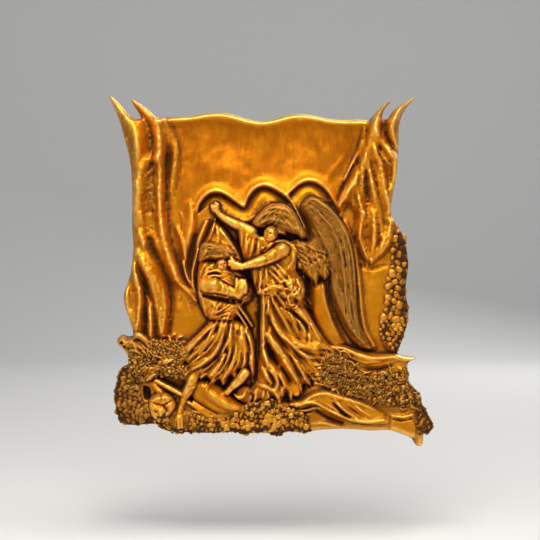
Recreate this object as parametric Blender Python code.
"""A gilded cast relief plaque: two wrestling figures, one winged, below a scalloped and flaming sheet.

The casting is one solid. Its front is a relief, carved as heights over a drawing. Its back is hollowed
inside a flat rim, which bears on the wall behind it and widens at the top into a flat pad to hang it
by. Everything is in metres, +Z up. The front faces -Y, the rim and the pad lie on the plane y = 0, and
the origin is the middle of the pad.
"""

import bpy
import numpy as np
from mathutils import Vector
from mathutils.geometry import delaunay_2d_cdt

# Driving sizes, in metres.
PLAQUE_HEIGHT = 0.353  # from the lowest stone to the highest flame tip
RELIEF_DEPTH = 0.050  # from the wall to the boldest form, the wrestling arms
WALL = 0.005  # least thickness of the casting over its hollow back
RIM_WIDTH = 0.011  # the flat rim round the hollow back
PAD_WIDTH = 0.064  # the flat pad that it hangs by
PAD_HEIGHT = 0.030
HOLLOW_SLOPE = 0.009  # how far the hollow's edge slopes down from the rim and the pad
EDGE_DEPTH = 0.006  # side wall where the front rolls over to the outline
EDGE_ROUND = 0.0055  # how far in from the outline that roll reaches

# The drawing that the carving's places are given on, right and down from its corner. They are shares
# of the plaque's height, which takes up DRAWN_HEIGHT units of it, and DRAWN_DEPTH units of relief.
DRAWN_HEIGHT = 353.0
DRAWN_DEPTH = 50.0
PAD_PLACE = (266.0, 138.0)
LEFT, TOP, RIGHT, BOTTOM = 104.0, 90.0, 438.0, 451.0
SAMPLES = 1.5  # heights worked out for each unit of the drawing

# How closely the facets follow the carving.
FRONT_FACETS = 9500
BACK_FACETS = 520
OUTLINE_SLACK = 0.22  # in units of the drawing

GILT = (0.72, 0.43, 0.10, 1.0)

UNIT = PLAQUE_HEIGHT / DRAWN_HEIGHT
DEPTH_UNIT = RELIEF_DEPTH / DRAWN_DEPTH


def curve_through(points, closed=False, steps=6):
    """Points on a smooth curve that passes through the given ones."""
    p = np.array(points, float)
    if len(p) < 3:
        return p
    if closed:
        ring = np.concatenate([p[-1:], p, p[:2]])
    else:
        ring = np.concatenate([2 * p[:1] - p[1:2], p, 2 * p[-1:] - p[-2:-1]])
    made = []
    for a, b, c, d in zip(ring, ring[1:], ring[2:], ring[3:]):
        for t in np.arange(steps) / steps:
            bend, twist = 2 * a - 5 * b + 4 * c - d, 3 * b - a - 3 * c + d
            made.append(0.5 * (2 * b + (c - a) * t + bend * t**2 + twist * t**3))
    if not closed:
        made.append(p[-1])
    return np.array(made)


def spread(values, fraction):
    """A size given once, or several times along a form, at these fractions of its length."""
    values = np.atleast_1d(np.array(values, float))
    return np.interp(fraction, np.linspace(0, 1, len(values)), values)


def soft_step(x):
    x = np.clip(x, 0, 1)
    return x * x * (3 - 2 * x)


def dome(x):
    """Height of a round shoulder, from 0 at its foot to 1 a whole radius in."""
    return np.sqrt(np.clip(1 - (1 - np.clip(x, 0, 1)) ** 2, 0, 1))


def blurred(field, reach):
    """The field smoothed over this many samples each way."""
    for _ in range(2):
        for axis in (0, 1):
            total = np.zeros_like(field)
            last = field.shape[axis] - 1
            for shift in range(-reach, reach + 1):
                total += np.take(field, np.clip(np.arange(last + 1) + shift, 0, last), axis)
            field = total / (2 * reach + 1)
    return field


def lowest_near(field, reach):
    for axis in (0, 1):
        rows = np.arange(field.shape[axis])
        found = field
        for shift in range(-reach, reach + 1):
            found = np.minimum(found, np.take(field, np.clip(rows + shift, 0, field.shape[axis] - 1), axis))
        field = found
    return field


class Relief:
    """Heights above the wall over the drawing, and the tools that carve them."""

    def __init__(self, samples=SAMPLES):
        self.samples = samples
        self.xs = LEFT + np.arange(int((RIGHT - LEFT) * samples) + 1) / samples
        self.ys = TOP + np.arange(int((BOTTOM - TOP) * samples) + 1) / samples
        self.height = np.zeros((len(self.ys), len(self.xs)))

    def window(self, low, high):
        """The samples between two corners, as slices with their places."""
        i0, j0 = (max(0, int((v - w) * self.samples)) for v, w in zip(low, (LEFT, TOP)))
        i1, j1 = (max(0, int((v - w) * self.samples) + 2) for v, w in zip(high, (LEFT, TOP)))
        where = (slice(j0, j1), slice(i0, i1))
        return where, *np.meshgrid(self.xs[i0:i1], self.ys[j0:j1])

    def nearest(self, path, reach, closed=False):
        """How far each sample near the path is from it, on which side, and how far along."""
        ends = np.roll(path, -1, 0) if closed else path[1:]
        starts = path if closed else path[:-1]
        lengths = np.linalg.norm(ends - starts, axis=1)
        marks = np.concatenate([[0], np.cumsum(lengths)]) / lengths.sum()
        distance = np.full(self.height.shape, np.inf)
        side = np.ones(self.height.shape)
        fraction = np.zeros(self.height.shape)
        for a, b, length, m0, m1 in zip(starts, ends, lengths, marks, marks[1:]):
            if length == 0:
                continue
            where, x, y = self.window(np.minimum(a, b) - reach, np.maximum(a, b) + reach)
            (dx, dy) = (b - a) / length
            along = np.clip((x - a[0]) * dx + (y - a[1]) * dy, 0, length)
            ex, ey = x - a[0] - along * dx, y - a[1] - along * dy
            away = np.hypot(ex, ey)
            closer = away < distance[where]
            distance[where] = np.where(closer, away, distance[where])
            side[where] = np.where(closer, np.sign(dx * ey - dy * ex), side[where])
            fraction[where] = np.where(closer, m0 + along / length * (m1 - m0), fraction[where])
        where, _, _ = self.window(path.min(0) - reach, path.max(0) + reach)
        return where, distance[where], side[where], fraction[where]

    def inside(self, path, where):
        """Whether each sample of a window lies inside a closed path."""
        x, y = np.meshgrid(self.xs[where[1]], self.ys[where[0]])
        odd = np.zeros(x.shape, bool)
        for (ax, ay), (bx, by) in zip(path, np.roll(path, -1, 0)):
            if ay == by:
                continue
            crosses = (ay > y) != (by > y)
            odd ^= crosses & (x < ax + (y - ay) * (bx - ax) / (by - ay))
        return odd

    def ridge(self, points, width, rise, crest=0.3, lean=0.0):
        """A fold added along a line, or a groove if rise is under 0. crest sharpens it, and lean
        narrows its left side and widens its right one, seen along the line."""
        where, away, side, t = self.nearest(curve_through(points), 1.6 * np.max(width))
        u = np.clip(away / (spread(width, t) * (1 + lean * side)), 0, 1)
        shape = (1 - crest) * (1 - u * u) ** 2 + crest * (1 - u) ** 1.5
        self.height[where] += spread(rise, t) * shape

    def face(self, x, y, radius, level, tilt, turn):
        """A calm, plain head seen from the front: tilt swings its chin to the left, and turn looks that way."""
        where, gx, gy = self.window((x - 1.4 * radius, y - 1.4 * radius), (x + 1.4 * radius,
            y + 1.4 * radius))
        across = ((gx - x) * np.cos(tilt) + (gy - y) * np.sin(tilt)) / radius
        down = ((gy - y) * np.cos(tilt) - (gx - x) * np.sin(tilt)) / radius
        narrow = 0.84 - 0.14 * np.clip(down, 0, 1)
        round_off = np.clip(1 - (across / narrow) ** 2 - down**2, 0, 1)
        bent = across + turn * np.sqrt(round_off)

        def mark(u, v, width, height):
            return np.exp(-(((bent - u) / width) ** 2) - ((down - v) / height) ** 2)

        form = 0.85 * np.sqrt(round_off)
        form += 0.20 * mark(0, 0.12, 0.10, 0.20) + 0.08 * mark(0, 0.27, 0.16, 0.08)
        form += 0.05 * mark(0, -0.18, 0.42, 0.09) + 0.05 * mark(0, 0.50, 0.20, 0.05) + 0.05 * mark(0, 0.60, 0.16, 0.05)
        form += 0.08 * mark(0, 0.80, 0.22, 0.13)
        for eye in (-0.32, 0.32):
            form += 0.05 * mark(eye, -0.01, 0.11, 0.05) - 0.12 * mark(eye, 0.0, 0.20, 0.13)
        top = np.where(round_off > 0, level + radius * form, -99)
        self.height[where] = np.maximum(self.height[where], top)

    def limb(self, points, radius, level, flat=1.0):
        """A round form, such as an arm, whose axis lies this high above the wall."""
        where, away, _, t = self.nearest(curve_through(points), np.max(radius) + 1)
        r = spread(radius, t)
        u = np.clip(away / r, 0, 1)
        form = spread(level, t) + flat * r * np.sqrt(1 - u * u)
        self.height[where] = np.where(away < r, np.maximum(self.height[where], form), self.height[where])

    def pillow(self, points, level, rise, edge):
        """A form with this outline: level where its edge stands, and rise above that further in."""
        path = curve_through(points, closed=True)
        where, away, _, _ = self.nearest(path, edge + 1, closed=True)
        within = self.inside(path, where)
        form = level + rise * dome(away / edge)
        self.height[where] = np.where(within, np.maximum(self.height[where], form), self.height[where])

    def sink(self, points, level, edge):
        """A hollow with this outline and floor, whose sides take edge to go down."""
        path = curve_through(points, closed=True)
        where, away, _, _ = self.nearest(path, edge + 1, closed=True)
        share = np.where(self.inside(path, where), soft_step(away / edge), 0)
        self.height[where] += (level - self.height[where]) * share

    def swell(self, x, y, width, height, rise):
        """A broad, soft rise or hollow."""
        gx, gy = np.meshgrid(self.xs, self.ys)
        self.height += rise * np.exp(-(((gx - x) / width) ** 2) - ((gy - y) / height) ** 2)

    def fan(self, first, last, count, width, rise, crest=0.5, seed=1):
        """Ridges that run from the first line to the last, in even steps with a little wander."""
        chance = np.random.default_rng(seed)
        a, b = curve_through(first), curve_through(last)
        for k in range(count):
            share = np.clip((k + 0.5 + chance.uniform(-0.2, 0.2)) / count, 0, 1)
            line = a + (b - a) * share
            self.ridge(line[::3], width, np.array(rise) * chance.uniform(0.7, 1.2), crest)

    def stones(self, points, size, sunk=0.35, seed=1):
        """Rounded stones packed inside an outline, sunk by a share of their size."""
        chance = np.random.default_rng(seed)
        path = curve_through(points, closed=True)
        where, away, _, _ = self.nearest(path, 3, closed=True)
        within = self.inside(path, where)
        self.height[where] -= np.where(within, 0.25 * size * soft_step(away / 3), 0)
        low, high = path.min(0), path.max(0)
        laid = []
        for _ in range(int(26 * np.prod(high - low) / size**2)):
            place = chance.uniform(low, high)
            across = size * chance.uniform(0.38, 0.66)
            turn, squash = chance.uniform(0, np.pi), chance.uniform(0.72, 1.0)
            column, row = ((place - (LEFT, TOP)) * self.samples).astype(int)
            row, column = row - where[0].start, column - where[1].start
            if not (0 <= row < within.shape[0] and 0 <= column < within.shape[1] and within[row, column]):
                continue
            if all(np.hypot(*(place - other)) > 0.86 * (across + r) for other, r, *_ in laid):
                laid.append((place, across, turn, squash))
        bed = blurred(self.height, int(size * self.samples / 2))
        for place, across, turn, squash in laid:
            spot, x, y = self.window(place - across, place + across)
            if spot[0].stop > len(self.ys) or spot[1].stop > len(self.xs):
                continue
            dx, dy = x - place[0], y - place[1]
            u = np.hypot(dx * np.cos(turn) + dy * np.sin(turn),
                (dy * np.cos(turn) - dx * np.sin(turn)) / squash)
            top = bed[spot] + across * (np.sqrt(np.clip(1 - (u / across) ** 2, 0, 1)) - sunk)
            self.height[spot] = np.where(u < across, np.maximum(self.height[spot], top), self.height[spot])


def outline():
    """The plaque's outline, clockwise from the left horn's tip. Each run is smooth, with a corner between runs."""
    left_horns = [(108.6, 95.5), (113, 97), (121, 105), (128, 113), (133, 118.2)]
    left_notch = [(133, 118.2), (137, 119), (141.5, 118.2)]
    second_horn = [(141.5, 118.2), (138, 112), (133.5, 105), (131.2, 100.8)]
    second_horn_top = [(131.2, 100.8), (133.5, 99.6), (141, 104), (150, 111), (156, 116.5), (161, 118.6)]
    top_edge = [(161, 118.6), (172, 116.8), (190, 116), (205, 113.4), (220, 112.4), (232, 114), (246, 118.6),
                (261, 121), (275, 119), (287, 115.2), (300, 114), (313, 115.6), (328, 118.8), (344, 120),
                (358, 119.4), (368.5, 120.8)]
    third_horn = [(368.5, 120.8), (373, 115.5), (380, 108), (386, 103), (392, 100.4)]
    third_horn_back = [(392, 100.4), (387, 105.5), (383.5, 111.5), (382, 117.8)]
    right_notch = [(382, 117.8), (385, 119.2), (388.5, 118)]
    fourth_horn = [(388.5, 118), (394, 110), (402, 103.8), (409, 99.6), (413.5, 96.8)]
    right_edge = [(413.5, 96.8), (414.6, 98.6), (410, 103.5), (404.5, 110.5), (400.8, 119), (399.3, 130),
                  (398.8, 145), (398.2, 160), (396.8, 175), (394, 191), (391.4, 206), (391.6, 215)]
    right_stones = [(391.6, 215), (398, 225), (403.5, 235), (406.6, 248), (408.6, 265), (406.4, 282),
                    (405.8, 294), (408.6, 308), (408, 322), (403.6, 337), (397.6, 353)]
    thorn = [(397.6, 353), (402, 355.6), (409, 356.6), (416.2, 357.4)]
    thorn_under = [(416.2, 357.4), (415.6, 359.4), (409.5, 362), (407, 366)]
    right_rocks = [(407, 366), (408.8, 375), (408.6, 382), (414, 387.6), (419.4, 393.5), (422.6, 404),
                   (427, 413), (432, 420.5), (432.6, 427), (428.5, 431.4), (423.4, 434)]
    tail = [(423.4, 434), (423.4, 441), (421.6, 446), (416.4, 445.4), (412.4, 439)]
    bottom_edge = [(412.4, 439), (403, 434.6), (388, 430), (370, 430.4), (350, 429), (330, 429), (314, 430.4),
                   (300, 432), (288, 431.4), (281.6, 434), (276.6, 437), (271, 433.6), (258, 432.4),
                   (248, 433.4), (235, 431.6), (212, 432.6), (186, 432.2), (170, 431.2), (159, 424.8),
                   (153, 423.6), (138, 425), (124, 424.6)]
    left_stones = [(124, 424.6), (118, 416), (115.6, 404), (114.6, 390), (117.4, 378), (121, 368.4),
        (127.6, 364.6)]
    left_root = [(127.6, 364.6), (128.6, 358), (124.6, 350.6), (118, 344.4), (117, 339.6), (121.6, 335.2),
                 (127.6, 336.6), (132.6, 336.2)]
    left_leaf = [(132.6, 336.2), (132.4, 330), (128.6, 318), (124.6, 306), (123.6, 295), (127, 284),
                 (130.6, 272), (132.4, 254)]
    left_edge = [(132.4, 254), (133.2, 246), (131.9, 228), (132, 200), (131.4, 178), (129.2, 158),
                 (124.6, 140), (119.4, 121), (112.6, 104), (108.6, 95.5)]
    runs = [left_horns, left_notch, second_horn, second_horn_top, top_edge, third_horn, third_horn_back,
            right_notch, fourth_horn, right_edge, right_stones, thorn, thorn_under, right_rocks, tail,
            bottom_edge, left_stones, left_root, left_leaf, left_edge]
    return np.concatenate([curve_through(run)[:-1] for run in runs])


def carve_sheet(relief):
    """The sheet behind the figures, fluted under its wavy top edge and swelling towards the scallops."""
    relief.height += 12
    relief.swell(262, 186, 84, 34, 7)
    relief.ridge([(160, 122), (190, 120), (220, 117), (262, 125), (300, 118), (340, 124), (366, 124)],
        8, 3.5, 0.6)
    for x, y, width, height, rise in (
        (205, 158, 15, 36, 2.2), (228, 134, 14, 24, -3.0), (258, 150, 16, 34, 1.2),
        (293, 134, 16, 26, -2.6), (330, 144, 16, 30, 1.0), (352, 150, 8, 26, -1.6),
        (184, 190, 7, 70, 1.4), (183, 315, 14, 22, 2.2), (372, 300, 10, 34, 2.6),
    ):
        relief.swell(x, y, width, height, rise)
    relief.ridge([(311, 130), (317, 145), (332, 159)], 5, (0.6, 1.3, 0.4))
    relief.ridge([(352, 140), (343, 158), (328, 178)], 4, (0.4, 1.2, 0.5))
    relief.ridge([(177, 126), (183, 142), (189, 156)], 3, (0.8, 1.4, 0.2))


def carve_scallops(relief):
    """Three scallops that hang over a deep trough, with the figures' ground below it."""
    first = [(197, 213), (198, 203), (204, 194.6), (211, 190.2), (219, 189.6), (227, 192.6), (235, 199),
        (243, 206.5)]
    second = [(243, 206.5), (246, 198), (251, 189.8), (258, 184.6), (266, 183.6), (275, 187.4), (284, 193.4),
              (291, 201), (294, 209)]
    third = [(287, 193), (293, 185.6), (300, 180.6), (308, 178.4), (316, 180), (324, 185), (330, 193),
        (335.6, 206)]
    under_first = [(292, 206), (280, 202.6), (269, 203.4), (261, 210), (253, 216.4), (243, 219.6),
                   (232, 216.6), (222, 210.4), (211, 206.6), (203, 211)]
    ground = [(197, 213), (204, 212), (240, 214), (292, 208), (336, 207), (352, 236), (357, 290), (366, 342),
              (300, 372), (230, 372), (196, 330), (199, 280), (193, 240)]
    relief.sink(ground, 11.5, 22)
    relief.sink(first[:-1] + second[1:] + under_first, 9, 2.6)
    relief.sink(third + [(329, 207), (318, 199.4), (308, 196), (300, 200.6), (296, 208), (291, 203)],
        9.5, 2.6)
    for arch in (first, second, third):
        relief.ridge(arch, (1.6, 3.2, 3.4, 3.2, 1.6), (1, 3.4, 3.8, 3.4, 1), 0.3, -0.25)
    relief.ridge([(204, 211.5), (211, 208)], 2.4, 2)
    relief.ridge([(222, 213), (233, 219), (245, 221.5), (255, 217.5), (263, 210.5), (269, 205)],
        2.6, 2.4, 0.3)
    relief.ridge([(294, 207), (299, 217), (304, 228), (307.6, 239)], (1.6, 2.4, 2.6, 2), (4, 6, 7, 5), 0.4)


def carve_left_flames(relief):
    """Flames that rise in long folds up the left side, into two horns."""
    relief.pillow([(109, 95), (121, 104), (134, 119), (142, 136), (146, 160), (139, 178), (136, 202),
                   (133, 230), (129, 190), (127, 150), (118, 118)], 12, 5, 9)
    relief.ridge([(110, 97), (121, 106.5), (129, 117), (135, 128), (138.6, 141), (140, 154), (139, 166),
                 (136, 184)], (2, 4, 6, 7.5, 7.5, 5, 3), (1.5, 3, 5.5, 8, 8, 5, 2), 0.5, -0.35)
    relief.pillow([(132, 100), (142, 105), (155, 116), (163, 130), (168, 150), (166, 175), (166, 205),
                   (168, 232), (176, 258), (184, 281), (170, 285), (158, 262), (146, 240), (137, 222),
                   (137, 198), (146, 164), (152, 140), (148, 122)], 12, 5, 8)
    relief.ridge([(133.5, 101), (143, 106.6), (152, 114.5), (158, 124), (161, 136), (161, 149), (159.6, 160)],
                 (2, 3.6, 5.5, 6.5, 7, 7, 5), (1.5, 3.5, 6, 8, 8.5, 8, 6), 0.45, -0.15)
    relief.ridge([(159.6, 160), (161.6, 172), (161.4, 188), (161.6, 205), (163, 222), (165.6, 238),
                  (170, 254), (175, 269), (180, 282), (188, 290), (196.6, 300)],
                  (5, 3.6, 3.4, 3.4, 3.6, 4.6, 4.6, 4.2, 4, 3.6, 3),
                  (7, 5.5, 5, 5, 5.5, 6.5, 6.5, 6.5, 6.5, 6, 3), 0.5)
    relief.ridge([(149, 160), (144, 172), (140.6, 186), (138.6, 200), (139, 214), (141, 230), (146, 244)],
                 (3.6, 4, 4.2, 4, 3.6, 3.6, 4), (4, 5.5, 6, 5.5, 4.5, 4, 5), 0.5)
    relief.ridge([(152, 150), (150, 160), (149, 172), (152, 183), (156, 186), (159, 180)],
                 (2.6, 2.8, 2.4, 3.6, 3, 2), (2, 4, 3.6, 4.6, 4, 2), 0.4)
    relief.swell(155.6, 171, 4.6, 8, -4.2)
    relief.swell(145.4, 181, 3, 9, -2.4)
    relief.swell(152, 212, 6, 22, -4.2)
    relief.ridge([(135, 208), (135.6, 226), (136.6, 240)], 1.8, 2.4, 0.5)
    relief.ridge([(155, 236), (158.6, 244), (160, 253)], (2, 3, 2), (2, 4, 1.5), 0.6)
    relief.ridge([(164, 122), (170, 131), (174, 143), (175.6, 157), (174.4, 172), (172, 188), (170.6, 200)],
                 (2.4, 4, 4.6, 4.8, 4.6, 4, 3), (3.6, 4.8, 5, 5, 4.6, 3.6, 1), 0.5)
    relief.ridge([(165, 126), (168.6, 142), (169.6, 160), (167.6, 180), (167.4, 205), (170, 230), (176, 254),
                  (184, 276), (190, 287)], (2, 2.6, 2.8, 2.8, 2.8, 3, 3, 3, 2),
                 (-3.5, -4.5, -5, -5, -5, -5, -4.5, -4.5, -2.5), 0.4)
    relief.pillow([(137, 240), (146, 246), (154, 262), (163, 277), (169, 295), (169.6, 312), (167.6, 334),
                   (156, 338), (153, 316), (150, 298), (146, 282), (139, 266), (134.6, 252)], 13, 9, 9)
    relief.ridge([(141, 232), (146, 246), (152.4, 259), (160, 273), (165.4, 288), (167, 302), (166.6, 318),
                  (164.6, 335)], (3, 3.6, 4, 4, 4, 3.6, 3.4, 3), (4, 5, 6, 5, 4.4, 4, 3.6, 2.4), 0.6, 0.2)
    relief.ridge([(136.6, 248), (142, 260), (147.6, 270), (153, 281), (157, 294), (158.6, 310), (160, 330)],
                 (4, 5, 6, 6, 5, 4, 4), (3, 4.6, 5.6, 5, 3, 2.4, 1.6), 0.3)
    relief.pillow([(133, 252), (137, 264), (142, 282), (144.4, 300), (142, 322), (138, 338), (132, 330),
                   (126, 314), (123, 298), (126, 286), (130, 272)], 10, 7, 8)
    relief.ridge([(133.4, 253), (135.6, 267), (139, 280), (141.6, 293), (142, 308), (140, 324), (137, 336)],
                 (2, 3.4, 4, 4, 3.6, 3.4, 3), (3, 5.6, 6.5, 6.5, 5, 4, 2), 0.5)
    relief.ridge([(133, 272), (131, 288), (132.6, 303), (136, 318)], (2, 3.6, 4, 2), (-2, -4.4, -4, -1.5),
        0.2)
    relief.ridge([(128.6, 282), (127.6, 292), (128, 303)], 2.2, (2, 3.4, 1.5), 0.5)
    relief.ridge([(134.6, 253), (140, 270), (144.6, 282), (146.8, 298), (146, 316), (146, 336)],
                 (1.6, 2.4, 2.8, 3, 3, 3), (-3, -6, -7, -7.5, -7.5, -5), 0.4)
    relief.ridge([(148.2, 297), (150.4, 308), (152, 320), (151.4, 337)], (1.4, 3, 3.4, 3), (3, 9, 9, 6), 0.6)
    relief.ridge([(150.6, 298), (154.6, 310), (156.6, 324), (156.6, 338)], (1.4, 2.2, 2.6, 2.6),
        (-3, -6, -7, -5), 0.4)
    relief.ridge([(150, 238), (156, 252), (163, 266), (169, 281), (172, 296), (171, 314), (170, 332)],
                 (2.6, 3, 3, 3, 3, 3, 2.6), (-4, -5, -5, -5.5, -6, -5, -3), 0.4)


def carve_tongues(relief):
    """Flame tongues between the left flames and the wrestler."""
    relief.ridge([(192, 205), (193, 222), (190, 238), (187, 252), (186, 264)], (3, 4.6, 5, 4, 2.6),
                 (1.5, 3, 4.6, 3.6, 1), 0.6, 0.3)
    relief.ridge([(207, 222), (200, 240), (197, 258), (194, 274), (193.6, 286)], (3, 3.6, 3.6, 3.4, 2),
                 (3, 4.6, 4.6, 3.6, 1), 0.6, -0.2)
    relief.ridge([(178, 228), (183, 243), (186.6, 258)], (2.4, 3, 2), (1.6, 2.6, 1), 0.5)
    relief.ridge([(195, 236), (191, 256), (188.6, 272), (193, 288)], (3, 3.4, 2.6, 1.6), (-2.6, -3, -2.4, -1),
        0.4)
    relief.ridge([(184, 262), (187, 275), (192.6, 286), (198, 296)], (1.8, 2.4, 2.2, 1.6), (1.4, 3, 3, 1.5),
        0.5)


def carve_right_flames(relief):
    """Flames that fall from two horns on the right, and end in a drop."""
    relief.pillow([(392, 100), (384, 110), (383, 120), (392, 140), (399, 158), (396, 185), (391, 210),
                   (392, 232), (387, 246), (378, 257), (370, 263.6), (362, 257), (357.6, 240), (357, 224),
                   (345, 206), (337, 206), (342, 190), (352, 170), (361, 144), (366, 126), (372, 114),
                   (382, 105)], 13, 6, 7)
    relief.ridge([(391, 101), (384, 106.6), (378.6, 113.4), (375.6, 122), (374, 133), (373, 146),
                 (373.4, 157)], (1.8, 3, 4.2, 5, 5.4, 5, 4), (1.5, 3, 5.5, 7, 7, 5.5, 4), 0.5, 0.2)
    relief.pillow([(414, 97), (404, 103), (394, 111), (386, 122), (386, 134), (392, 147), (398, 157),
                   (399, 140), (399.6, 124), (404, 112)], 12, 5, 6)
    relief.ridge([(413, 98), (405, 103), (397.6, 110), (392.6, 119), (390, 129), (391.6, 139), (395.6, 149)],
                 (1.8, 3, 4.4, 5, 4.6, 3.6, 2.4), (1.5, 3, 6, 7, 6.5, 4.5, 2), 0.5, 0.2)
    relief.ridge([(400, 120), (398, 134), (397.8, 150)], 2.4, (2, 2.6, 2), 0.4)
    relief.ridge([(384, 119), (383.6, 130), (387.4, 142), (392.6, 151), (396.6, 158)],
                 (2.4, 3.2, 3, 2.4, 1.6), (-4, -7, -6.5, -4.5, -2), 0.3)
    relief.ridge([(376, 134), (382, 145), (388, 153), (395, 161), (395.8, 176), (393, 192), (390.6, 206),
                 (390, 222)], (3, 4, 5, 4.6, 3.6, 3.4, 3.4, 3), (3, 5, 6.5, 6.5, 5.5, 5, 4.6, 3), 0.5)
    relief.swell(386, 158, 6, 5, 2.6)
    relief.swell(388, 181, 4.4, 15, -4)
    relief.ridge([(372.6, 150), (377, 161), (381, 174), (383, 188), (386.4, 201), (388.6, 212)],
                 (2.6, 3, 3, 2.8, 2.8, 2.4), (3.4, 4.4, 4.6, 4.2, 4, 2), 0.6)
    relief.ridge([(369.6, 130), (366, 143), (365.4, 156), (367.4, 170), (370, 184), (373, 197), (377, 209)],
                 (2.2, 2.8, 3, 3, 3, 2.8, 2.4), (2.4, 4, 4.4, 4.6, 4.6, 4, 2), 0.6)
    relief.ridge([(374, 166), (376.6, 180), (379, 194), (382.6, 206)], 2, (1, 3, 3, 1.5), 0.6)
    relief.ridge([(364, 130), (361.4, 146), (361, 162), (361.6, 178), (361, 192)], (2, 2.6, 2.8, 2.6, 2),
                 (2.4, 4, 4.6, 4.4, 2), 0.6)
    relief.ridge([(363.4, 152), (364, 168), (366, 184), (367, 198), (366, 210)], (1.6, 2, 3.2, 3.6, 2.4),
                 (-2.5, -3.5, -7, -8, -3), 0.3)
    relief.ridge([(371, 160), (374, 178), (377, 192), (381.6, 206), (383.6, 222), (384.6, 240)],
                 (1.6, 2, 2.2, 2.6, 2.8, 2), (-2.5, -3.5, -4, -6, -6.5, -2.5), 0.4)
    relief.ridge([(361, 142), (356, 155), (350, 168), (344, 180)], (1.8, 2.4, 2.4, 2), (2, 4, 4, 2), 0.6)
    relief.ridge([(356, 168), (351, 181), (345, 193), (338, 206)], (2.6, 4, 5, 4.4), (3.4, 6.5, 7.5, 6),
        0.4, -0.2)
    relief.ridge([(353, 166), (347, 179), (341, 190), (337, 201)], (1.6, 2, 2.2, 2), (-2.5, -3.5, -3.5, -2),
        0.4)
    relief.ridge([(356.6, 174), (355.6, 187), (358, 200), (361.6, 213)], (1.8, 2.2, 2.4, 2),
        (2, 3.6, 3.6, 1.5), 0.6)
    relief.swell(351, 200, 5, 10, -2.6)
    relief.ridge([(361.6, 214), (359, 226), (358.6, 237), (361, 248), (365, 257), (370.6, 261.6)],
                 (2.6, 3.6, 3.6, 3.4, 3, 2.4), (3, 6, 6, 5, 4, 3), 0.5)
    relief.ridge([(390.6, 222), (390, 234), (386, 244), (380, 252), (371, 261.6)], (3, 3.6, 4.4, 4, 2.4),
                 (3, 5, 6.5, 6, 3), 0.5)
    relief.ridge([(372.6, 212), (373, 226), (372.6, 240), (371, 253)], (2.4, 3, 2.8, 2), (2, 4.6, 4.6, 2),
        0.5)
    relief.ridge([(366, 226), (366.6, 240), (368.6, 253)], (2.4, 3, 2), (-3.5, -5, -2), 0.3)
    relief.ridge([(378.6, 224), (379, 237), (376, 248)], (2.4, 3, 2), (-3, -4.6, -2), 0.3)
    relief.ridge([(385.6, 228), (382.6, 239), (378, 249)], 1.8, (1.5, 3.4, 1.5), 0.6)
    relief.ridge([(360, 264.6), (371, 267.6), (384, 265)], (3, 3.4, 3), (-3, -4, -3), 0.2)


def carve_mandorla(relief):
    """Smooth bands that frame the wing, and one that falls between it and the angel's robe."""
    relief.ridge([(345, 222), (351, 240), (356, 262), (358.6, 286), (360.4, 308), (364, 328), (373, 345)],
                 (3, 4, 4.4, 4.6, 4.6, 5, 5), (2, 5, 6, 6.5, 6.5, 6, 4), 0.4, 0.2)
    relief.pillow([(324, 280), (326.6, 296), (331, 312), (337, 327), (345, 342), (332, 348), (322, 336),
                   (314, 318), (311, 300), (312, 286)], 13, 6, 8)
    relief.ridge([(323, 286), (325, 301), (330, 317), (337, 332)], (3, 4, 4, 4), (2, 3.6, 3.6, 2), 0.5)


def carve_wing(relief):
    """The angel's great wing: long flight feathers, rows of coverts and a downy shoulder."""
    relief.pillow([(300, 210), (304, 200.6), (311, 196.6), (320, 200), (331, 209), (340, 220), (347, 233),
                   (351.6, 248), (354.6, 266), (355.6, 285), (356, 304), (358.6, 322), (364, 337), (371, 348),
                   (360, 346.6), (349, 337), (340, 322), (333.6, 306), (329, 290), (328, 272), (312, 262),
                   (300, 246), (309, 238), (307, 224)], 15, 9, 11)
    relief.ridge([(303, 206), (312, 199.6), (324, 206), (336, 219), (345, 234), (350, 252)],
                 (3, 4, 4, 4, 3.6, 3), (3, 4, 3.6, 3, 2.4, 1), 0.4)
    relief.fan([(304, 211), (311, 224), (320, 240), (328, 258), (330, 282), (337, 306), (349, 329),
               (366, 347)], [(309, 200), (325, 206), (341, 223), (350, 244), (353.6, 270), (355, 298),
               (359, 324), (370, 346)], 7, (1.4, 2.2, 2.8, 2.8, 2.8, 2.8, 2.4, 1.4),
               (1.2, 2.4, 2.8, 3, 3.2, 3.2, 2.8, 1), 0.6, 5)
    relief.pillow([(289, 243), (298, 240), (308, 246), (318, 252), (327, 262), (329, 273), (322, 281),
                   (313, 283), (306, 275), (299, 266), (293, 256)], 24, 9, 11)
    relief.fan([(293, 246), (300, 256), (306, 266), (310, 279)], [(300, 242), (313, 248), (323, 260),
               (327, 275)], 5, (1.8, 2.8, 3, 2.2), (1, 2.4, 2.8, 1.5), 0.5, 7)
    relief.sink([(303, 272), (311, 280), (311, 300), (315, 318), (321, 333), (316, 336), (309, 320),
        (304, 300)], 9, 3)


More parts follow.
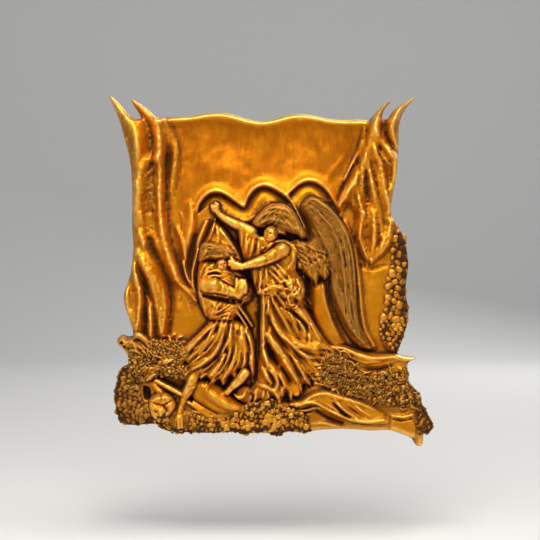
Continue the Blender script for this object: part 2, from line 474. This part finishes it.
def carve_wrestler(relief):
    """The wrestler, bowed to the right, with a veiled head, one arm round the angel and a fluttering skirt."""
    relief.pillow([(216, 222), (226, 231), (236, 245), (243, 261), (236, 268), (222, 262), (206, 262),
                   (200, 258), (202, 247), (208, 236)], 17, 10, 13)
    relief.ridge([(216, 219), (214, 229), (210, 240)], (1.8, 2.4, 1.6), (5, 5, 1.5), 0.6)
    relief.ridge([(222, 228), (230, 240), (238, 253), (242.6, 263)], (2.4, 3.4, 3.4, 2.4), (3, 5, 5.5, 4),
        0.5)
    relief.pillow([(203, 246), (210, 242), (222, 244), (233, 249), (234, 257), (222, 260), (208, 259),
                  (200, 261)], 25, 7, 7)
    relief.fan([(203, 247), (212, 245), (224, 247), (233, 251)], [(201, 260), (211, 258), (223, 259),
               (233, 257)], 5, (1, 1.6, 1.6, 1), (1, 1.8, 1.8, 1), 0.6, 11)
    relief.pillow([(201, 260), (214, 259), (228, 262), (240, 270), (251, 282), (252, 298), (244, 304),
                   (238, 316), (228, 321), (212, 320), (204, 311), (199, 296), (198, 277)], 17, 13, 12)
    relief.face(223, 265.4, 6.8, 26.5, -0.35, -0.2)
    for start, bend, middle, end in (
        ((208, 262), (203, 270), (200.6, 281), (201, 296)),
        ((214, 263), (207, 271), (203, 280), (202.6, 290)),
        ((203, 281), (208, 273.6), (217, 270.6), (228, 274)),
        ((205, 278), (213, 275), (224, 277), (234, 284)),
    ):
        relief.ridge([start, bend, middle, end], 1.8, (1.5, 3.4, 3.4, 1.5), 0.6)
    relief.limb([(208, 284.5), (215, 285), (223, 287.6), (231, 290.6), (239, 293)], (7, 7.4, 6, 5.4, 4.6),
                (29, 31, 31.6, 32, 33), 0.95)
    relief.limb([(239, 294), (242.6, 288), (242.4, 281)], (4.6, 4.6, 3.6), (33, 34, 33))
    relief.limb([(237.6, 291), (238, 284), (237.6, 279)], (2.6, 2.6, 2), (35, 35.6, 35))
    relief.ridge([(205, 276), (216, 276.6), (227, 281), (236, 286.6)], 1.8, (1.5, 3, 3, 1.5), 0.5)
    relief.ridge([(205, 295), (216, 297.6), (228, 300), (241, 301)], (2.4, 3, 3.4, 3), (-4, -7, -9, -8), 0.3)
    for line in (
        [(203, 296), (205, 306), (206, 315)], [(212, 300), (216, 305), (211, 312)],
        [(222, 302), (218, 308), (211, 314)], [(230, 306), (221, 310), (211, 316)],
        [(213, 319), (224, 316.6), (238, 319)],
    ):
        relief.ridge(line, 2, (1.5, 3.6, 2), 0.6)
    relief.pillow([(212, 319), (226, 317), (240, 320), (249, 327), (254, 342), (255, 358), (252, 374),
                   (246, 368), (240, 369), (232, 374), (222, 380), (214, 380), (208, 376), (200, 375),
                   (190, 367), (180, 353), (186, 345), (198, 334), (207, 325)], 19, 9, 9)
    skirt_folds = (
        ([(213, 322), (203, 333), (192, 343), (181, 351)], (2, 4, 5, 3), (3, 5.5, 6, 3)),
        ([(218, 321), (210, 337), (200, 349), (189, 358)], (2, 2.8, 3, 2), (3, 4.5, 4.5, 2)),
        ([(222, 321), (217, 336), (208, 349), (195, 360)], (2, 2.6, 2.8, 2), (3, 4.5, 4.5, 2)),
        ([(226, 322), (222, 339), (214, 353), (204, 360.6), (193, 367)], (2, 2.6, 3.6, 3.4, 2),
         (3, 4.5, 6, 6, 4)),
        ([(232, 323), (229, 339), (223, 350)], (2, 2.6, 1.8), (3, 4.5, 2)),
        ([(226, 353), (220, 364), (212, 373), (202, 375.4)], (1.8, 3.2, 3.4, 2), (3, 7, 7, 3)),
        ([(233, 330), (232, 345), (228, 361), (221, 373), (215, 380)], (1.8, 2.4, 2.4, 2.2, 1.6),
         (2, 4, 5, 4.5, 2)),
        ([(237, 328), (236.6, 345), (234, 360), (228, 372), (221, 379)], (1.8, 2.4, 2.6, 2.4, 1.6),
         (2, 4, 5, 4.5, 2)),
        ([(242, 326), (243, 338), (246.4, 349)], (2.4, 4.4, 2.4), (3, 6.5, 3)),
        ([(247, 328), (251.6, 341), (253, 355), (251.6, 375)], (1.8, 2.8, 3, 2), (2, 5, 5.5, 3)),
        ([(241, 350), (239.4, 359), (235, 369)], (1.4, 2, 1.4), (2, 4, 2)),
        ([(245.6, 351), (244.4, 361), (240, 368)], (1.4, 2.2, 1.4), (2, 4.5, 2)),
    )
    for line, width, rise in skirt_folds:
        relief.ridge(line, width, rise, 0.6)
    for line in ([(230, 326), (225, 342), (215, 358), (203, 367)], [(238, 330), (233, 352), (225, 368),
                 (217, 377)], [(247, 334), (249, 350), (248, 364)], [(219, 326), (212, 342), (201, 355)]):
        relief.ridge(line, (1.4, 2, 2.2, 1.6)[: len(line)], (-2, -4, -5, -3)[: len(line)], 0.4)
    for shift in (0, 4.6):
        relief.limb([(231 + shift, 300), (237 + shift, 310), (243 + shift / 2, 319), (248, 327)],
                    (1.6, 1.9, 1.8, 1.4), (25, 27, 27, 25))
    relief.limb([(196, 373), (193.6, 382), (189.6, 391), (185, 400)], (5, 5.8, 4.4, 2.8), (19, 21, 20, 18))
    relief.limb([(184.6, 399), (182, 406), (181, 413)], (2.8, 3.6, 5), (18, 19, 20))
    relief.limb([(181, 413), (181.4, 420), (181, 427)], (5.2, 5.4, 5.6), (22, 21, 19), 0.8)
    relief.limb([(244, 372.6), (238, 380), (232, 386.6), (227.6, 390.6)], (5.2, 4.4, 4, 2.6),
        (24, 24, 23, 21))
    relief.limb([(233, 391), (239, 396), (245, 394), (246.6, 388)], (2, 2.6, 2.6, 2), (20, 21, 21, 20))


def carve_angel(relief):
    """The angel, leaning to the left, with one arm raised, the other round the wrestler, and a long robe."""
    relief.sink([(219, 221), (228, 228), (237, 236), (243, 250), (246, 262), (241, 262), (234, 246),
        (226, 234)], 10, 2.6)
    relief.pillow([(238, 226), (250, 229), (262, 236), (278, 238), (292, 243), (298, 256), (296, 270),
                   (303, 282), (304, 294), (296, 302), (262, 296), (256, 290), (250, 272), (243, 256)],
                   19, 12, 12)
    relief.pillow([(262, 290), (280, 286), (296, 292), (304, 306), (313, 322), (322, 336), (332, 349),
                   (318, 352), (310, 362), (306, 384), (300, 394), (278, 398), (262, 396), (254, 386),
                   (257, 366), (260, 340), (261, 312)], 17, 10, 11)
    robe_folds = (
        ([(263.6, 292), (263, 310), (262.6, 328), (262.6, 344)], (2.2, 3.4, 3.6, 2), (4, 8, 8, 4)),
        ([(267, 293), (270.6, 311), (278, 327), (288, 338), (300, 344), (316, 346.6)],
         (2, 2.8, 3.4, 3.8, 3.8, 2.4),
         (3, 5, 6, 7, 7, 3)),
        ([(270, 293), (277, 307), (284, 319), (290, 331), (297, 339)], (1.8, 2.4, 2.6, 2.4, 1.6),
         (3, 5, 5, 4, 2)),
        ([(274, 292), (284, 304), (292, 318), (299, 332)], (1.8, 2.4, 2.4, 1.6), (3, 4.5, 4, 2)),
        ([(281, 293), (291, 303), (302, 313), (311, 323), (320, 336)], (2, 3, 3.8, 3.4, 2.2),
         (3, 6, 7, 6, 3)),
        ([(289, 311), (297, 317), (303, 325), (304.6, 335)], (1.8, 2.6, 2.6, 1.8), (3, 5.5, 5.5, 2.5)),
        ([(268, 333), (275, 343), (282, 353), (289, 366), (296, 379)], (2.6, 4, 4.4, 4.2, 2.8),
         (4, 8, 8, 7.5, 4)),
        ([(262, 346), (266, 358), (273, 366.6), (281, 374), (287, 386)], (2.4, 3.4, 3.6, 3, 2),
         (4, 7, 7, 5.5, 3)),
        ([(270, 319), (279, 334), (290, 349), (299, 363), (305, 378)], (1.6, 2.2, 2.4, 2.4, 1.8),
         (2, 3.6, 4, 4, 2)),
        ([(286, 337), (295, 347), (306, 354), (316, 357)], (1.6, 2.6, 2.6, 1.6), (2, 5, 5, 2)),
        ([(262, 366), (267, 374), (271, 381)], (2, 3.6, 2), (3, 6, 3)),
        ([(266, 366), (273, 371), (277.4, 379), (275.4, 388), (279, 396)], (1.6, 2.2, 2.4, 2.2, 1.6),
         (2, 5, 5.5, 5, 2)),
        ([(280, 374), (284, 383), (281, 391), (288, 396)], (1.6, 2.2, 2, 1.6), (2, 4.5, 4, 2)),
        ([(254, 381), (264, 383.6), (272, 388), (277, 396)], (1.6, 2.6, 2.6, 1.6), (3, 6, 6, 3)),
        ([(257, 388), (254, 397), (249, 405)], (1.6, 2.4, 1.6), (2, 5, 2)),
        ([(264, 389), (260.6, 398), (255, 405)], (1.6, 2.6, 1.6), (2, 5, 2)),
    )
    for line, width, rise in robe_folds:
        relief.ridge(line, width, rise, 0.6)
    for line, width, depth in (
        ([(267, 314), (274, 329), (285, 344), (296, 357)], (1.6, 2.4, 2.4, 1.8), (-3, -6, -6, -3)),
        ([(286, 308), (295, 314), (303, 322), (309, 333)], (1.6, 2.8, 2.8, 1.8), (-4, -7, -7, -3)),
        ([(268, 344), (271, 353), (277, 362)], (3.4, 4.8, 3), (-6, -9, -4)),
        ([(293, 320), (298, 328), (299, 334)], (1.8, 2.8, 1.6), (-3, -4.5, -2)),
        ([(257.4, 300), (257.6, 330), (257, 360), (256, 378)], (2, 2.6, 2.6, 2), (-6, -9, -9, -6)),
    ):
        relief.ridge(line, width, depth, 0.3)
    for line in (
        [(266, 268), (267, 278), (268, 286)], [(272, 266), (281, 276), (289, 286)], [(270, 271), (279, 281),
         (285, 289)],
        [(277, 264), (286, 274), (292, 281)], [(254, 271), (254, 282), (252, 293)], [(260, 271), (261, 281),
         (258, 291)],
        [(247, 236), (245.6, 248), (244, 258)], [(254, 237), (252.6, 248), (250, 257)], [(259, 240),
         (258.6, 249), (257, 256)],
    ):
        relief.ridge(line, (1.4, 2.2, 1.4), (2, 4.4, 2), 0.6)
    relief.limb([(261, 291), (268, 288.6), (276, 286), (284, 289), (293, 289)], (1.8, 2.2, 2, 2, 1.8),
        (29, 31, 31, 31, 29))
    for x, y, across in ((296, 279.6, 4), (299, 287, 4), (301.6, 292.6, 3), (294, 293, 3.4),
        (297.6, 299.6, 3.2)):
        relief.limb([(x - across / 2, y), (x + across / 2, y - across / 3)], across, 26, 0.8)
    relief.pillow([(247, 233), (252, 231.4), (259, 236), (258, 240), (250, 239), (246, 237)], 30, 5, 3)
    relief.limb([(252, 233), (244, 228.6), (236, 225), (228, 220.8), (221, 216), (217.6, 211.6)],
                (6, 5, 4.4, 3.9, 3.3, 2.8), (25, 25, 26, 27, 28, 29))
    relief.limb([(215, 208), (217, 207)], 4.4, (30, 30), 0.9)
    relief.swell(214.2, 206.4, 1.3, 1.3, -4)
    relief.limb([(262, 241), (269, 245)], (4.6, 5.4), (28, 28), 0.9)
    relief.face(270.6, 235, 8.2, 31, 0.35, 0.35)
    relief.pillow([(253, 223), (255.6, 213.6), (262, 207.4), (269, 203.6), (278, 202.8), (288, 204.6),
                   (295, 209.6), (300, 217), (301.6, 226), (297, 232), (286, 232.6), (276, 229), (266, 226.6),
                   (259, 229.4), (254, 228)], 26, 15, 12)
    relief.fan([(299, 213), (288, 207), (276, 206), (262, 210), (256, 218)],
               [(300, 229), (288, 229), (275, 225), (263, 224), (256, 226)], 6, (1.2, 1.8, 1.9, 1.8, 1.2),
               (1, 2, 2, 2, 1), 0.6, 12)
    relief.sink([(277, 232.6), (288, 234), (299, 233), (299.6, 238), (288, 239), (278, 238)], 13, 1.6)
    for lift, shift in ((0, 0), (1.2, 3), (0.6, 6)):
        relief.ridge([(266 - shift / 2, 255 - shift), (270, 247 - shift / 2), (278, 242.6 - shift / 3),
                      (287 + shift / 3, 243 - shift / 3), (292.6 + shift / 2, 250), (292 + shift / 2, 261),
                      (288 + shift, 269)], 1.5, 2.4 + lift, 0.6)
    relief.limb([(282, 250.6), (275, 254.6), (268, 258.4), (259, 262), (250, 264.6), (242, 267)],
                (8.2, 7, 5.4, 4.9, 4, 3.2), (31, 32.6, 34, 34.6, 35, 35.6), 0.95)
    relief.limb([(241, 266.4), (236, 264.6), (231, 262)], (3.6, 4.2, 3), (35, 34.4, 33), 0.9)
    relief.limb([(237, 269), (231.6, 268)], (2, 1.6), (34, 33))
    relief.limb([(234, 261), (232, 257.6)], (2, 1.5), (34, 33))
    relief.limb([(291, 377), (294, 384), (296, 391)], (4, 4.6, 4), (22, 23, 21), 0.8)


def carve_left_ground(relief):
    """The ground on the left: a gnarled root, fleecy brush, a staff, a bundle and heaped stones."""
    relief.pillow([(118, 338), (124, 334), (134, 337), (146, 335), (162, 339), (184, 340), (196, 352),
                   (200, 372), (192, 398), (200, 402), (222, 420), (230, 433), (172, 433), (158, 426),
                   (122, 426), (114, 398), (117, 374), (128, 362), (126, 352), (116, 344)], 11, 8, 11)
    relief.limb([(119.6, 340), (122, 347), (127, 352), (133, 355)], (3, 3, 3.4, 3), (13, 14, 15, 15))
    relief.limb([(120, 338.6), (124.6, 337), (131, 341), (139, 346), (148, 349), (157, 356)],
                (2.6, 2.8, 3, 2.8, 2.8, 2.4), (14, 15, 17, 18, 19, 19))
    relief.limb([(132, 338), (139, 334.6), (146, 339), (152, 346)], (2.8, 3.4, 3, 2.4), (16, 18, 19, 19))
    relief.fan([(133, 346), (140, 358), (150, 366)], [(150, 343), (166, 352), (182, 362)], 4, (1.6, 2.4, 2),
               (2, 3.4, 2), 0.6, 21)
    relief.stones([(150, 341), (166, 339), (182, 343), (190, 353), (184, 362), (168, 358), (152, 352)],
        4.6, 0.4, 22)
    relief.limb([(142, 371), (150, 369), (158, 366.6), (168, 360), (176, 358), (183, 360)],
                (3.4, 4, 3.4, 3, 3, 2.4), (19, 21, 22, 23, 22, 20), 0.8)
    relief.limb([(164, 367.6), (171, 370), (177, 373)], (2, 2.6, 2), (24, 25, 24))
    relief.limb([(148, 378), (156, 374), (162, 376)], (2.4, 3, 2.4), (21, 22, 21))
    relief.sink([(160, 372), (184, 373), (188, 384), (178, 392), (164, 384), (152, 380)], 12, 4)
    relief.limb([(160, 380), (171, 386.4), (182, 392)], 2.6, (18, 20, 20))
    relief.limb([(154, 382), (161, 390), (170, 396.6)], (2.4, 3.4, 2.4), (18, 20, 21), 0.8)
    relief.pillow([(152, 398), (162, 394), (172, 396), (176, 404), (170, 414), (160, 419), (152, 412)],
        20, 6, 6)
    relief.ridge([(155, 401), (162, 406), (170, 411)], 1.6, -3, 0.5)
    relief.ridge([(158, 398), (166, 401), (174, 399)], 2, (1.5, 3.4, 1.5), 0.6)
    relief.sink([(145, 384), (152, 386), (153, 397), (146, 398)], 13, 3)
    relief.stones([(119, 369), (132, 367), (142, 374), (147, 388), (149, 402), (153, 416), (152, 424),
                   (124, 425), (117, 412), (115, 392)], 6.2, 0.3, 23)
    relief.pillow([(196, 380), (210, 378), (222, 386), (236, 398), (246, 404), (240, 412), (222, 414),
                   (204, 404), (192, 394)], 15, 8, 12)
    relief.ridge([(205, 382), (214, 393), (226, 402), (242, 407)], (3, 5, 5.4, 3), (2, 4, 4.6, 2), 0.4)
    relief.limb([(190, 401), (201, 408), (212, 415.4), (221, 420)], (2, 2.6, 2.6, 2), (19, 20, 20, 19), 0.9)
    relief.ridge([(192, 409.6), (199, 410.6), (206, 413)], 2.4, (3, 4.6, 2), 0.5)


def carve_bottom_stones(relief):
    """The bed of pebbles along the bottom."""
    relief.pillow([(158, 412), (186, 408), (214, 412), (246, 402), (270, 398), (292, 402), (314, 412),
                   (310, 434), (160, 434)], 17, 5, 10)
    relief.stones([(160, 416), (174, 414), (177, 424), (188, 420), (206, 414), (222, 419), (224, 431),
                  (168, 431)], 4.8, 0.35, 31)
    relief.pillow([(225, 414), (239, 413), (240, 430), (226, 430)], 20, 2.6, 3)
    relief.stones([(241, 410), (252, 402), (270, 399), (288, 407), (306, 411), (308, 430), (284, 431),
                   (276, 436), (270, 432), (243, 431)], 5.2, 0.3, 32)


def carve_right_ground(relief):
    """The ground on the right: a thorn, curling brush, a smooth drift, a block and rough rocks."""
    relief.pillow([(306, 352), (322, 344), (336, 341), (350, 346), (372, 352), (396, 354), (408, 364),
                   (410, 382), (422, 396), (434, 420), (428, 433), (410, 438), (386, 431), (300, 432),
                   (288, 402), (302, 390), (306, 372)], 13, 9, 12)
    relief.pillow([(326, 346), (336, 341), (350, 346), (372, 352), (398, 353.6), (417, 357), (417, 360),
                   (400, 362), (384, 371), (364, 372), (352, 362), (338, 352)], 14, 8, 8)
    relief.ridge([(332, 346), (344, 347), (358, 353), (372, 356.6), (390, 355), (404, 356), (416, 358)],
                 (3, 4, 5, 5, 4, 3, 2), (4, 5, 6.5, 7, 6, 4, 1.5), 0.6, 0.3)
    relief.ridge([(362, 366), (376, 368), (390, 364)], (3, 4, 3), (-1.5, -3.5, -2), 0.2)
    relief.sink([(306, 380), (312, 377), (314, 385), (307, 387)], 14, 3)
    for x, y, across, turns in ((371, 372.6, 6.6, 1.6), (371, 383, 7, 1.0), (384.6, 394, 6, 1.3),
                                (318, 375, 5.4, 1.4), (393, 376, 5, 1.2), (345, 370, 6, 1.0),
                                (349, 382, 5.4, 1.2), (330, 384, 5, 1.1)):
        turn = np.linspace(0, 2 * np.pi * turns, 12)
        curl = across * (1 - 0.55 * turn / turn[-1])
        relief.ridge(np.stack([x + curl * np.cos(turn), y + 0.8 * curl * np.sin(turn)], 1), 1.8, 3.4, 0.6)
    relief.fan([(308, 362), (320, 359), (334, 362)], [(310, 384), (322, 386), (336, 390)], 5, (1.4, 2, 1.4),
               (2, 3.6, 2), 0.6, 41)
    relief.stones([(334, 355), (350, 362), (362, 374), (380, 382), (402, 366), (408, 382), (420, 396),
                   (404, 404), (380, 402), (356, 391), (334, 388)], 7.4, 0.5, 42)
    relief.pillow([(288, 402), (300, 398), (312, 390), (326, 387), (344, 392), (362, 398), (380, 408),
                   (386, 414), (384, 422), (360, 422), (338, 417), (316, 405), (300, 407)], 20, 7, 9)
    for line, width, rise in (
        ([(290, 402), (302, 399.6), (312, 393), (324, 390.6), (338, 394.6), (354, 399), (378, 410)],
         (3, 3, 4, 4.6, 4, 3.4, 2.4), (2, 3, 4.6, 5, 4, 4, 3)),
        ([(296, 404), (312, 400), (330, 409), (348, 416), (366, 419), (382, 417)],
         (2, 2.4, 2.4, 2.6, 3.4, 2.4),
         (2, 3.4, 3.4, 4, 5, 3)),
        ([(333, 396), (342, 406), (356, 416)], (1.6, 2.2, 1.6), (2, 3.4, 1.5)),
        ([(351, 400), (360, 408), (370, 414)], (1.6, 2.2, 1.6), (2, 3, 1.5)),
        ([(294, 409), (306, 408), (316, 405.6), (328, 411)], (1.6, 2.4, 2.4, 1.6), (2, 4, 4, 2)),
        ([(291, 413), (302, 413), (311, 411.6)], 2, (2, 4, 2)),
    ):
        relief.ridge(line, width, rise, 0.5)
    for line in ([(332, 400), (342, 411), (352, 417)], [(316, 409), (328, 416), (342, 421)]):
        relief.ridge(line, (1.6, 2.4, 1.6), (-2.5, -4, -2.5), 0.4)
    relief.pillow([(306, 421), (320, 417), (336, 419), (350, 424), (384, 422), (388, 431), (312, 431)],
        18, 5, 5)
    relief.pillow([(389, 411), (412, 409), (414, 436), (402, 435), (389, 431)], 23, 4, 3)
    relief.ridge([(389, 413), (400, 414.6), (411, 412)], 2, 2.6, 0.5)
    relief.stones([(404, 388), (415, 388), (421, 400), (427, 412), (433, 424), (426, 432), (416, 434),
                  (414, 410)], 6.4, 0.35, 43)
    relief.limb([(417, 432), (418.4, 438), (418.6, 442)], (5, 4.6, 4.2), (14, 12, 10), 0.9)


def carve_right_stones(relief):
    """The column of stones that climbs the right edge."""
    relief.pillow([(392, 222), (400, 229), (406, 244), (409, 268), (406, 290), (409, 312), (403, 338),
                   (396, 352), (384, 348), (378, 333), (382, 312), (386, 292), (385, 276), (391, 258),
                   (390, 240)], 11, 4, 6)
    relief.stones([(394, 234), (401, 232), (406, 246), (408.6, 266), (406, 284), (407, 298), (404, 318),
                   (384, 322), (387, 300), (386, 282), (391, 264), (394, 248)], 8.6, 0.25, 51)
    relief.stones([(382, 320), (404, 318), (403, 338), (397, 350), (386, 346), (379, 334)], 6.2, 0.25, 52)


def pad_corners(path):
    """The corners of the flat pad, kept inside the plaque's top edge."""
    wide, high = PAD_WIDTH / UNIT / 2, PAD_HEIGHT / UNIT / 2
    left, right = PAD_PLACE[0] - wide, PAD_PLACE[0] + wide
    above = path[(path[:, 0] > left - 2) & (path[:, 0] < right + 2) & (path[:, 1] < PAD_PLACE[1])]
    top, bottom = max(PAD_PLACE[1] - high, above[:, 1].max() + 2), PAD_PLACE[1] + high
    return np.array([(left, top), (right, top), (right, bottom), (left, bottom)])


def off_pad(corners, x, y):
    """How far places lie outside the pad."""
    (left, top), (right, bottom) = corners[0], corners[2]
    return np.maximum(np.maximum(left - x, x - right), np.maximum(top - y, y - bottom))


def fine_outline():
    """The outline with only the points that hold its shape within OUTLINE_SLACK."""
    path = outline()
    keep = [0]
    while keep[-1] < len(path) - 1:
        start, end = keep[-1], keep[-1] + 1
        while end < len(path) - 1:
            a, b = path[start], path[end + 1]
            along = (b - a) / max(np.linalg.norm(b - a), 1e-9)
            between = path[start + 1 : end + 1] - a
            off = np.abs(between[:, 0] * along[1] - between[:, 1] * along[0])
            if off.max() > OUTLINE_SLACK or np.linalg.norm(b - a) > 9:
                break
            end += 1
        keep.append(end)
    return path[keep]


def carved():
    """The relief's front and hollow back, as heights over the drawing."""
    relief = Relief()
    carve_sheet(relief)
    carve_left_flames(relief)
    carve_right_flames(relief)
    carve_scallops(relief)
    carve_tongues(relief)
    carve_mandorla(relief)
    carve_wing(relief)
    carve_left_ground(relief)
    carve_bottom_stones(relief)
    carve_right_ground(relief)
    carve_right_stones(relief)
    carve_wrestler(relief)
    carve_angel(relief)
    path = outline()
    reach = (RIM_WIDTH + HOLLOW_SLOPE) / UNIT + 2
    where, away, _, _ = relief.nearest(path, reach, closed=True)
    inward = np.zeros(relief.height.shape)
    inward[where] = np.where(relief.inside(path, where), np.minimum(away, reach), 0)
    relief.covered = inward > 0
    edge = EDGE_DEPTH / DEPTH_UNIT
    front = blurred(relief.height, 1)
    front = edge + (np.maximum(front, edge + 1) - edge) * dome(inward * UNIT / EDGE_ROUND)
    front *= DRAWN_DEPTH / front.max()
    wall = WALL / DEPTH_UNIT
    hollow = lowest_near(front - wall, int(8 * relief.samples))
    hollow = blurred(np.clip(hollow, 0, None), int(4 * relief.samples))
    x, y = np.meshgrid(relief.xs, relief.ys)
    thin = np.minimum(inward - RIM_WIDTH / UNIT, off_pad(pad_corners(path), x, y))
    back = hollow * soft_step(thin * UNIT / HOLLOW_SLOPE)
    return relief, front, back


def heights_at(relief, field, points):
    """The field's heights at places on the drawing, between its samples."""
    fx = np.clip((points[:, 0] - LEFT) * relief.samples, 0, field.shape[1] - 1.001)
    fy = np.clip((points[:, 1] - TOP) * relief.samples, 0, field.shape[0] - 1.001)
    i, j = fx.astype(int), fy.astype(int)
    u, v = fx - i, fy - j
    return (
        field[j, i] * (1 - u) * (1 - v) + field[j, i + 1] * u * (1 - v)
        + field[j + 1, i] * (1 - u) * v + field[j + 1, i + 1] * u * v
    )


def reduced(relief, field, count):
    """The field as a sheet of about this many facets, long where it is even and small where it is bold."""
    rows, columns = field.shape
    x, y = np.meshgrid(relief.xs, relief.ys)
    index = np.arange(rows * columns).reshape(rows, columns)
    quads = np.stack([index[:-1, :-1], index[:-1, 1:], index[1:, 1:], index[1:, :-1]], -1).reshape(-1, 4)
    upper, lower = relief.covered[:-1], relief.covered[1:]
    quads = quads[(upper[:, :-1] & upper[:, 1:] & lower[:, 1:] & lower[:, :-1]).ravel()]
    used, quads = np.unique(quads, return_inverse=True)
    places = np.stack([x.ravel()[used], y.ravel()[used], field.ravel()[used]], 1)
    sheet = bpy.data.meshes.new("sheet")
    sheet.from_pydata(places.tolist(), [], quads.reshape(-1, 4).tolist())
    thing = bpy.data.objects.new("sheet", sheet)
    bpy.context.scene.collection.objects.link(thing)
    fewer = thing.modifiers.new("fewer", "DECIMATE")
    fewer.ratio = count / (2 * len(quads.reshape(-1, 4)))
    seen = thing.evaluated_get(bpy.context.evaluated_depsgraph_get())
    made = bpy.data.meshes.new_from_object(seen)
    points = np.array([v.co[:] for v in made.vertices])
    faces = [tuple(face.vertices) for face in made.polygons]
    bpy.data.objects.remove(thing)
    return points, faces


def faceted(relief, field, ring, count, flat=None):
    """A triangulation of the field inside the ring, with its places, facets and heights. The four corners
    of a flat face, where they are given, have no other points between them."""
    points, faces = reduced(relief, field, count)
    _, away, _, _ = relief.nearest(ring, 4, closed=True)
    clear = np.full(field.shape, 4.0)
    where, _, _ = relief.window(ring.min(0) - 4, ring.max(0) + 4)
    clear[where] = np.where(relief.inside(ring, where), np.minimum(away, 4), 0)
    fixed = ring
    if flat is not None:
        clear = np.minimum(clear, np.clip(off_pad(flat, *np.meshgrid(relief.xs, relief.ys)), 0, 4))
        fixed = np.concatenate([ring, flat])
    inner = heights_at(relief, clear, points) > 1.3
    renumber = np.cumsum(inner) - 1 + len(fixed)
    flipped, sound = set(), set()
    for face in faces:
        for a, b, c in [(face[0], face[k], face[k + 1]) for k in range(1, len(face) - 1)]:
            (ax, ay), (bx, by), (cx, cy) = points[a, :2], points[b, :2], points[c, :2]
            area = (bx - ax) * (cy - ay) - (by - ay) * (cx - ax)
            target = sound if area > 0.02 else flipped
            target.update((tuple(sorted(pair)) for pair in ((a, b), (b, c), (c, a))))
    pairs = np.array([pair for pair in sorted(sound - flipped) if inner[pair[0]] and inner[pair[1]]])
    starts, ends = points[pairs[:, 0], :2], points[pairs[:, 1], :2]
    nearest = np.full(len(pairs), 4.0)
    for share in np.linspace(0.03, 0.97, 32):
        nearest = np.minimum(nearest, heights_at(relief, clear, starts + (ends - starts) * share))
    edges = [(k, (k + 1) % len(ring)) for k in range(len(ring))]
    edges += [(k, k + 1 if k + 1 < len(fixed) else len(ring)) for k in range(len(ring), len(fixed))]
    edges += [(int(a), int(b)) for a, b in renumber[pairs[nearest > 0.8]]]
    places = np.concatenate([fixed, points[inner, :2]])
    made = delaunay_2d_cdt([Vector(p) for p in places], edges, [list(range(len(ring)))], 1, 1e-4)
    kept = np.array([v[:] for v in made[0]])
    return kept, np.array(made[2]), heights_at(relief, field, kept)


def solid_mesh(name):
    """The casting as one closed mesh: its carved front, its hollow back and the wall between their edges."""
    relief, front, back = carved()
    ring = fine_outline()
    front_points, front_faces, front_heights = faceted(relief, front, ring, FRONT_FACETS)
    back_points, back_faces, back_heights = faceted(relief, back, ring, BACK_FACETS, pad_corners(ring))
    count = len(ring)
    front_heights[:count] = EDGE_DEPTH / DEPTH_UNIT
    back_heights[: count + 4] = 0
    places = np.concatenate([front_points, back_points])
    heights = np.concatenate([front_heights, back_heights])
    x = (places[:, 0] - PAD_PLACE[0]) * UNIT
    z = (PAD_PLACE[1] - places[:, 1]) * UNIT
    y = -heights * DEPTH_UNIT
    first_back = len(front_points)
    faces = [tuple(face) for face in front_faces[:, ::-1]]
    faces += [tuple(face + first_back) for face in back_faces]
    for k in range(count):
        after = (k + 1) % count
        faces.append((k, after, first_back + after, first_back + k))
    mesh = bpy.data.meshes.new(name)
    mesh.from_pydata(np.stack([x, y, z], 1).tolist(), [], [tuple(int(v) for v in face) for face in faces])
    mesh.validate()
    return mesh


def gilt_material():
    material = bpy.data.materials.new("gilt_bronze")
    material.use_nodes = True
    shader = material.node_tree.nodes["Principled BSDF"]
    shader.inputs["Base Color"].default_value = GILT
    shader.inputs["Metallic"].default_value = 1.0
    shader.inputs["Roughness"].default_value = 0.35
    return material


def main():
    for thing in list(bpy.data.objects):
        bpy.data.objects.remove(thing)
    mesh = solid_mesh("relief_plaque")
    mesh.materials.append(gilt_material())
    plaque = bpy.data.objects.new("relief_plaque", mesh)
    bpy.context.scene.collection.objects.link(plaque)


main()
